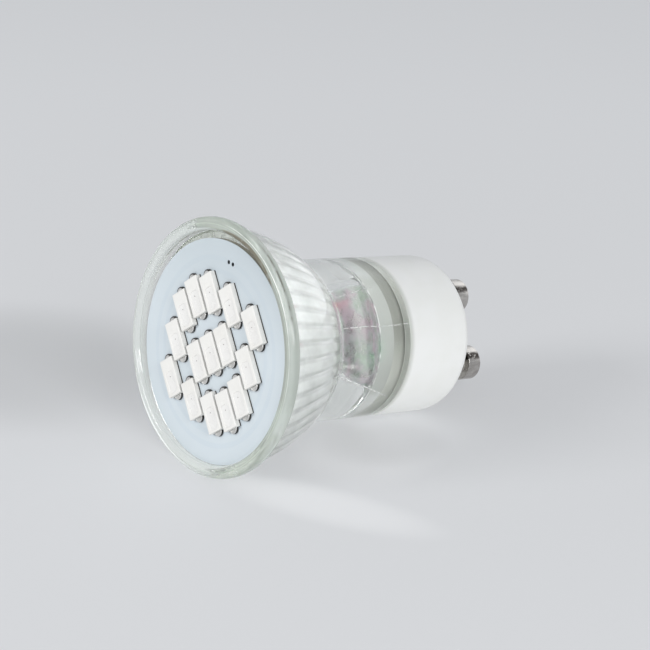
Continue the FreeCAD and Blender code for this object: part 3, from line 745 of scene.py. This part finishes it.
def glassOutline():
    # the turned part as (radius, height): hollow, spigot, neck, bowl as an arc, bead as an arc, and recess
    size = glassSize
    stepZ = size["holeSides"][2][2]
    hollow, spigot, end = size["hollowRadius"], size["spigotRadius"], size["spigotEnd"]
    neck, neckEnd, bowlEnd = size["neckRadius"], size["neckEnd"], size["bowlEnd"]
    back = softOutline([
        (hollow - 0.6, stepZ, 0), (hollow, stepZ, 0.3), (hollow, end, 0.2), (spigot, end, 0.2),
        (spigot, neckEnd, 0.1), (neck, neckEnd, 0.12), (neck, neckEnd - 2, 0),
    ])
    bead, rim = size["beadRadius"], size["rimRadius"]
    bowl = arcBetween((rim - bead, 2 * bead), (neck, bowlEnd), size["bowlBulge"], 30)[::-1]
    join = softOutline([(*back[-1], 0), (neck, bowlEnd, 0.9), (*bowl[6], 0)])
    neckLine = np.linspace(back[-1], join[1], 20)[1:-1]
    t = np.linspace(math.pi / 2 - 0.55, -math.pi / 2, 18)
    beadArc = np.stack([rim - bead + bead * np.cos(t), bead + bead * np.sin(t)], axis=-1)
    under = softOutline([(*bowl[-3], 0), (rim - bead + 0.12, 2 * bead + 0.02, 0.25), (*beadArc[0], 0)])
    recess, depth = size["recessRadius"], size["recessDepth"]
    inner = softOutline([
        (*beadArc[-1], 0), (recess, 0, 0.6), (recess, depth, 0.15), (recess - 0.6, depth, 0),
    ])
    return np.vstack([back, neckLine, join[1:-1], bowl[6:-3], under, beadArc[1:], inner[1:]])


def glassRings():
    # closed loop of rings; the outside waves in and out with angle and height, as pressed glass does
    size = glassSize
    stack = RingStack(size["facets"] * size["facetSteps"])
    addFacets(stack)
    facetEnd = len(stack.radii) - 1
    addHole(stack)
    for radius, height in glassOutline():
        stack.add(radius, height)
    angle = stack.angle
    radii, heights = np.array(stack.radii), np.array(stack.heights)[:, None]
    outside = (heights > 2.5) & (heights < 26) & (radii > 11)
    wave = 1 + np.sin(3 * angle + heights * 0.7) * np.cos(heights * 0.45 + 1)
    radii = radii - outside * size["waveOut"] * wave
    rings = np.stack([radii * np.cos(angle), radii * np.sin(angle), heights + 0 * radii], axis=-1) * mm
    return rings, stack.sharp, facetEnd


rings, sharp, facetEnd = glassRings()
reflector = surface(
    "glassReflector", rings, [paint["glass"]], closed=True,
    sharpRings=sharp, sharpEvery=glassSize["facetSteps"], sharpSpan=(0, facetEnd),
)
mount(reflector, paint["glass"], "glass_reflector")
print("glass reflector made")


# ceramic base: a cup with a rounded rear edge
baseSize = {
    "radius": 11.25, "bore": 9.65, "front": 26.6, "floor": 35.8, "end": 38.8,
    "rearSoft": 2.0, "frontSoft": 0.2, "boreSoft": 0.15, "floorSoft": 0.5, "axisGap": 0.4,
}


def baseRings():
    # outline in (radius, height, rounding) turned about Z: floor, bore, front edge, outside and rear
    size = baseSize
    outline = softOutline([
        (size["axisGap"], size["floor"], 0), (size["bore"], size["floor"], size["floorSoft"]),
        (size["bore"], size["front"], size["boreSoft"]), (size["radius"], size["front"], size["frontSoft"]),
        (size["radius"], size["end"], size["rearSoft"]), (size["axisGap"], size["end"], 0),
    ], steps=10)
    return turnedRings(outline, 160) * mm


baseCup = surface("ceramicBase", baseRings(), [paint["ceramic"]])
mount(baseCup, paint["ceramic"], "ceramic_base")
print("base made")


# contact pins: shank through the base, headed, with a dimple in the end
pinSize = {
    "shank": 1.5, "head": 2.5, "headStart": 45.55, "end": 48.0, "headSoft": 0.3, "edgeSoft": 0.12,
    "collar": 2.1, "collarStart": 35.2, "collarEnd": 35.8, "dimple": 0.6, "dimpleDepth": 0.4,
}


def pinRings(y):
    # outline in (radius, height, rounding) turned about the pin's own axis: collar, shank, head and dimple
    size = pinSize
    outline = softOutline([
        (0.1, size["collarStart"], 0),
        (size["collar"], size["collarStart"], 0.1), (size["collar"], size["collarEnd"], 0.05),
        (size["shank"], size["collarEnd"], 0.05), (size["shank"], size["headStart"], 0.1),
        (size["head"], size["headStart"], size["edgeSoft"]), (size["head"], size["end"], size["headSoft"]),
        (size["dimple"], size["end"], 0.1), (0.1, size["end"] - size["dimpleDepth"], 0),
    ], steps=6)
    return turnedRings(outline, 72) * mm + np.array((0, y, 0))


for name in ("contact_pin_left", "contact_pin_right"):
    low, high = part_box(name)
    pin = surface(name.replace("contact_pin_", "pin."), pinRings((low.y + high.y) / 2), [paint["nickel"]])
    mount(pin, paint["nickel"], name)
print("pins made")


# one LED: sizes in millimetres in its own axes, x across and y along it, z up from its top face
ledSize = {
    "length": 5.25, "width": 2.8, "height": 0.70, "corner": 0.12, "edge": 0.1,
    "windowLength": 3.0, "windowWidth": 1.75, "windowCorner": 0.6, "windowOffset": -0.75, "windowDepth": 0.45,
    "windowDish": 0.09, "lipSoft": 0.08, "dot": 0.065, "dotOffset": 0.05,
    "mark": (0.45, 0.25, 0.24), "markOffset": 1.55, "markRise": 0.022, "markSoft": 0.04,
    "frame": 0.15, "frameCorner": 0.05, "overhang": 0.045,
    "tab": 0.78, "tabDepth": 0.66, "tabHeight": 0.40, "tabSoft": 0.14, "tabShadeRows": (3, 6),
}


def toBoard(rings, centre):
    # turn the piece's own axes to the board's and carry it to its centre
    turn = math.radians(boardLook["turn"])
    c, s = math.cos(turn), math.sin(turn)
    matrix = np.array([[c, -s, 0], [s, c, 0], [0, 0, 1]])
    return rings * mm @ matrix.T + np.array(centre)


def windowPlate(grow=0.0):
    # middle, half sizes and corner of the window's rounded rectangle, made larger by grow on each side
    size = ledSize
    halfX, halfY = size["windowWidth"] / 2, size["windowLength"] / 2
    return (0, size["windowOffset"], halfX + grow, halfY + grow, size["windowCorner"] + grow)


def housingRings():
    # outside wall up to the top face, over the lip and down to the floor of the window
    size = ledSize
    hx, hy, corner = size["width"] / 2, size["length"] / 2, size["corner"]
    edge, lip = size["edge"], size["lipSoft"]
    levels = [(0, 0, hx, hy, corner, size["height"])]
    for t in np.linspace(0, np.pi / 2, 5):
        inset = edge * (1 - np.cos(t))
        levels.append((0, 0, hx - inset, hy - inset, max(corner - inset, 0.02), edge * (1 - np.sin(t))))
    for t in np.linspace(0, np.pi / 2, 4):
        levels.append((*windowPlate(lip * (1 - np.sin(t))), lip * (1 - np.cos(t))))
    levels.append((*windowPlate(), size["windowDepth"]))
    return plateRings(levels, 48)


def windowRings():
    # resin up to its dish, which deepens a little towards the middle
    size = ledSize
    _, offset, halfX, halfY, corner = windowPlate()
    levels = [(*windowPlate(), size["windowDepth"]), (*windowPlate(), size["windowDish"])]
    for t in (0.15, 0.4, 0.7, 0.9):
        depth = size["windowDish"] * (1 + 0.6 * t)
        levels.append((0, offset, halfX * (1 - t), halfY * (1 - t), corner * (1 - t), depth))
    return plateRings(levels, 48)


def dotRings():
    # small disc that stands a hair proud of the dish
    size = ledSize
    r, y = size["dot"], size["dotOffset"]
    return plateRings([(0, y, r, r, r, size["windowDish"] + rise) for rise in (0.02, -0.01)], 16)


def markRings():
    # faint oval on the face at the cathode end
    size = ledSize
    (hx, hy, corner), y, soft, rise = size["mark"], size["markOffset"], size["markSoft"], size["markRise"]
    levels = [(0, y, hx, hy, corner, 0.02), (0, y, hx, hy, corner, 0.01 - rise)]
    levels.append((0, y, hx - soft, hy - soft, corner - soft, -rise))
    return plateRings(levels, 24)


def frameRings():
    # plate under the housing, as wide as the housing and a little more, painted near-black so that its edge
    # is a painted shadow line beside the housing
    size = ledSize
    hx, hy, corner = size["width"] / 2 + size["overhang"], size["length"] / 2, size["frameCorner"]
    low, high, soft = size["height"] + size["frame"], size["height"], 0.02
    levels = [(0, 0, hx, hy, corner, low), (0, 0, hx, hy, corner, high + soft)]
    return plateRings(levels + [(0, 0, hx - soft, hy - soft, corner, high)], 24)


def tabRings(side):
    # half-moon tab at one end: half a disc with a rounded upper edge, its flat side on the housing
    size = ledSize
    r, soft, low = size["tab"], size["tabSoft"], size["height"] + size["frame"]
    angle = np.linspace(0, np.pi, 33)
    arch = np.stack([np.cos(angle), np.sin(angle) * size["tabDepth"] / size["tab"]], axis=-1)
    back = np.stack([np.linspace(-1, 1, 17)[1:-1], np.zeros(15)], axis=-1)
    shape = np.vstack([arch, back])
    top = low - size["tabHeight"]
    levels = [(r, low), (r, low - 0.12), (r, top + soft)]
    levels += [(r - soft * (1 - math.cos(t)), top + soft * (1 - math.sin(t))) for t in (0.5, 1.0, 1.5)]
    levels += [(r * 0.72, top), (r * 0.62, top + 0.05), (r * 0.3, top + 0.03)]
    rings = np.array([np.column_stack([shape * radius, np.full(len(shape), z)]) for radius, z in levels])
    rings[..., 1] = side * (rings[..., 1] + size["length"] / 2)
    return rings


# each form of an LED: name of the piece, its rings, sharp rings, finish and the CAD node that it stands for
ledForms = (
    ("ledHousing", housingRings, (0, 9), "ledWhite", "led_housing"),
    ("ledWindow", windowRings, (1,), "ledResin", "led_window"),
    ("ledDot", dotRings, (0, 1), "ledDot", None),
    ("ledMark", markRings, (1, 2), "ledWhite", None),
    ("ledFrame", frameRings, (0, 1, 2), "frameShade", "led_terminals"),
)


def buildLed(number):
    # every form is carried to the middle of the CAD housing's top face
    low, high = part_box(f"led_housing_{number:02d}")
    centre = ((low.x + high.x) / 2, (low.y + high.y) / 2, low.z)
    for name, makeRings, sharp, finish, node in ledForms:
        rings = toBoard(makeRings(), centre)
        piece = surface(f"{name}.{number:02d}", rings, [paint[finish]], sharpRings=sharp)
        mount(piece, paint[finish], *([f"{node}_{number:02d}"] if node else []))
    # a tab's lower rows of faces are painted dark as shade, and its top is bright
    tabPaints = [paint["frameTin"], paint["frameShade"]]
    for side, end, shadeRows in zip((-1, 1), ("low", "high"), ledSize["tabShadeRows"]):
        rings = toBoard(tabRings(side), centre)
        patches = [1] * shadeRows + [0] * (len(rings) - shadeRows)
        tab = surface(f"ledTab.{number:02d}.{end}", rings, tabPaints, sharpRings=(0,), patches=patches)
        mount(tab, paint["frameTin"])


for number in range(1, 16):
    buildLed(number)
print("leds made")


# CAD nodes that keep their own meshes, and the finish made for each
dressed = {
    "led_board": "board",
    "base_cement": "cement",
    "driver_board": "laminate",
    "driver_chip": "blackMould",
    "bridge_rectifier": "blackMould",
    "choke": "ferrite",
    "smoothing_capacitor": "sleeve",
    "fuse_resistor": "lacquer",
    "feed_wire_red": "redWire",
    "feed_wire_white": "whiteWire",
    "pin_leads": "tin",
}
for node, finish in dressed.items():
    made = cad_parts[node]
    made.data.materials.clear()
    made.data.materials.append(paint[finish].material)
print("inner pieces dressed")


# the photograph's view: the bulb lies on its rim and the edge of its base
view = {
    "place": (-0.206292, -0.028346, -0.159246), "aim": (0.001202, 0.002179, 0.022260),
    "up": (-0.19051, 0.98026, 0.05293), "lens": 109.21, "sensor": 36.0,
}
floorDown = Vector((0.4317, -0.8856, 0.1719)).normalized()


def facing(place, aim, up):
    # turn that points -Z from place to aim, with Y as near to up as can be
    away = (Vector(place) - Vector(aim)).normalized()
    right = Vector(up).cross(away).normalized()
    turn = Matrix((right, away.cross(right), away)).transposed().to_4x4()
    return Matrix.Translation(Vector(place)) @ turn


def addCamera():
    # the view's lens at its place, turned to its aim
    data = bpy.data.cameras.new("camera")
    data.lens = view["lens"]
    data.sensor_width = view["sensor"]
    data.clip_start = 0.01
    data.clip_end = 10
    camera = bpy.data.objects.new("camera", data)
    bpy.context.scene.collection.objects.link(camera)
    camera.matrix_world = facing(view["place"], view["aim"], view["up"])
    bpy.context.scene.camera = camera


stageLook = {
    "backdrop": (0.610, 0.630, 0.651), "floor": (0.79, 0.80, 0.81), "panel": (1.45, 1.47, 1.50),
    "panelRise": 0.45, "panelSpan": (42, 16), "light": 0.45, "lightFall": 0.18,
    "lightColor": (0.95, 0.97, 1.0), "clear": 0.03 * mm,
    "glow": ((0.685, 0.697, 0.724), (0.755, 0.770, 0.800)), "glowFade": (0.04, 0.25),
    # painted light where the glass would throw light on the floor, and painted soft shadows: from, to, half
    # width, gain and tone
    "paintedStreaks": (
        ((0.00238, -0.01794, 0.00293), (-0.02351, -0.02874, 0.01228), 0.0060, 0.14, 2.0),
        ((0.00268, -0.01543, 0.01510), (-0.00873, -0.01838, 0.02860), 0.0120, 0.12, 2.0),
        ((0.08009, 0.01757, -0.00928), (0.02833, -0.00248, 0.01742), 0.0300, 0.36, 0.0),
        ((0.00249, -0.01463, 0.01969), (-0.00643, -0.01636, 0.03319), 0.0095, 0.20, 0.0),
    ),
    "streakReach": 1.3, "underGlow": (1.15, 1.15, 1.15), "glowShare": 0.42, "reach": 0.9,
    "fade": (0.6, 0.85), "corners": 96,
    # lamps: across to the right, along to the viewer and up from the floor, width and height, power
    "lampSide": 15 * mm, "lampAim": 12 * mm,
    "lamps": {
        "rightBox": ((0.36, 0.71, 0.40), (0.4, 0.3), 3.7),
        "leftBox": ((-0.80, 0.36, 0.42), (0.4, 0.3), 4.2),
    },
    # light turns back inside the glass many times before it leaves
    "bounces": {"max_bounces": 96, "transmission_bounces": 96, "glossy_bounces": 96, "diffuse_bounces": 8},
}


def floorPoint():
    # point of the floor under the rim: middle of the bead + way down * (radius of the bead + clearance)
    bead = glassSize["beadRadius"] * mm
    outwards = Vector((floorDown.x, floorDown.y, 0)).normalized()
    middle = outwards * (glassSize["rimRadius"] * mm - bead) + Vector((0, 0, bead))
    return middle + floorDown * (bead + stageLook["clear"])


def floorGlow(finish, place, away):
    # the floor is partly lit from within, as a light table is, so that shadows stay soft; each painted
    # streak, of light or of shadow, is an ellipse, where (distance along / half length) squared + (across /
    # half width) squared is under 1
    near, far = stageLook["glow"]
    glow = finish.blend(finish.span(away, *stageLook["glowFade"]), near, far)
    # each streak paints light (tone above 1) or shadow (tone 0) into the glow
    for start, end, halfWidth, gain, tone in stageLook["paintedStreaks"]:
        middle, half = (Vector(start) + Vector(end)) / 2, (Vector(end) - Vector(start)) / 2
        way = half.normalized()
        halfLength = half.length * stageLook["streakReach"]
        spread = 0
        for way, size in ((way, halfLength), (way.cross(floorDown), halfWidth)):
            spread = ((finish.along(way, place) - middle.dot(way)) * (1 / size)) ** 2.0 + spread
        glow = finish.blend(finish.span(spread, 0.0, 1.0, gain, 0.0), glow, (tone, tone, tone))
    return finish.blend(finish.seen(), stageLook["underGlow"], glow)


def addFloor():
    # wide disc square to the way down, seen from above only, fading into the backdrop
    finish = Finish("floorPaint")
    place = finish.place()
    centre = floorPoint()
    sockets = {0: place, 1: tuple(centre)}
    away = finish.node("ShaderNodeVectorMath", {"operation": "DISTANCE"}, sockets, "Value")
    diffuse = finish.node("ShaderNodeBsdfDiffuse", {}, {"Color": asColor(stageLook["floor"])})
    glow = finish.node("ShaderNodeEmission", {}, {"Color": floorGlow(finish, place, away)})
    lit = finish.node("ShaderNodeMixShader", {}, {0: stageLook["glowShare"], 1: diffuse, 2: glow})
    clear = finish.node("ShaderNodeBsdfTransparent")
    behind = finish.node("ShaderNodeNewGeometry", out="Backfacing")
    gone = finish.span(away, *stageLook["fade"]).union(behind)
    finish.use(finish.node("ShaderNodeMixShader", {}, {0: gone, 1: lit, 2: clear}))
    corners = stageLook["corners"]
    angle = np.linspace(0, 2 * np.pi, corners, endpoint=False)
    side = floorDown.orthogonal().normalized()
    rim = np.outer(np.cos(angle), side) + np.outer(np.sin(angle), side.cross(-floorDown))
    vertices = np.vstack([np.array(centre), np.array(centre) + rim * stageLook["reach"]])
    faces = [(0, 1 + k, 1 + (k + 1) % corners) for k in range(corners)]
    mesh = bpy.data.meshes.new("floor")
    mesh.from_pydata(vertices.tolist(), [], faces)
    mesh.update()
    if mesh.polygons[0].normal.dot(-floorDown) < 0:
        mesh.flip_normals()
    floor = bpy.data.objects.new("floor", mesh)
    bpy.context.scene.collection.objects.link(floor)
    mesh.materials.append(finish.material)


def addLamp(name):
    # soft box placed by the picture's own right, near and up, and aimed a little beside the floor's point
    (across, along, up), size, power = stageLook["lamps"][name]
    camera = bpy.context.scene.camera.matrix_world
    right = camera.col[0].to_3d()
    rise = -floorDown
    near = right.cross(rise)
    near = near if near.dot(camera.col[2].to_3d()) > 0 else -near
    aim = floorPoint() + rise * stageLook["lampAim"] + right * stageLook["lampSide"]
    place = aim + right * across + near * along + rise * up
    data = bpy.data.lights.new(name, "AREA")
    data.shape = "RECTANGLE"
    data.size, data.size_y = size
    data.energy = power
    lamp = bpy.data.objects.new(name, data)
    bpy.context.scene.collection.objects.link(lamp)
    lamp.matrix_world = facing(place, aim, rise)
    lamp.visible_camera = False


def addWorld():
    # even light all round, a little less from beyond the pins; what is seen of it is the plain backdrop
    world = bpy.data.worlds.new("studio")
    bpy.context.scene.world = world
    sky = Finish("studio", world=world)
    way = tuple((Vector((0, 0, 1)) - floorDown * stageLook["panelRise"]).normalized())
    toPanel = sky.along(way, sky.node("ShaderNodeTexCoord"))
    strength = stageLook["light"] - toPanel * stageLook["lightFall"]
    sockets = {"Color": asColor(stageLook["lightColor"]), "Strength": strength}
    light = sky.node("ShaderNodeBackground", {}, sockets)
    # glass and metal also see a broad pale panel, beyond the pins and a little above the floor
    edge, full = (math.cos(math.radians(angle)) for angle in stageLook["panelSpan"])
    panel = sky.span(toPanel, edge, full) * (1 - sky.node("ShaderNodeLightPath", out="Is Camera Ray"))
    shown = sky.blend(panel, stageLook["backdrop"], stageLook["panel"])
    show = sky.node("ShaderNodeBackground", {}, {"Color": shown})
    sky.use(sky.node("ShaderNodeMixShader", {}, {0: sky.seen(), 1: light, 2: show}))


addCamera()
addFloor()
for name in stageLook["lamps"]:
    addLamp(name)
addWorld()
bpy.context.scene.view_settings.view_transform = "Standard"
for key, value in stageLook["bounces"].items():
    setattr(bpy.context.scene.cycles, key, value)
print("stage set")
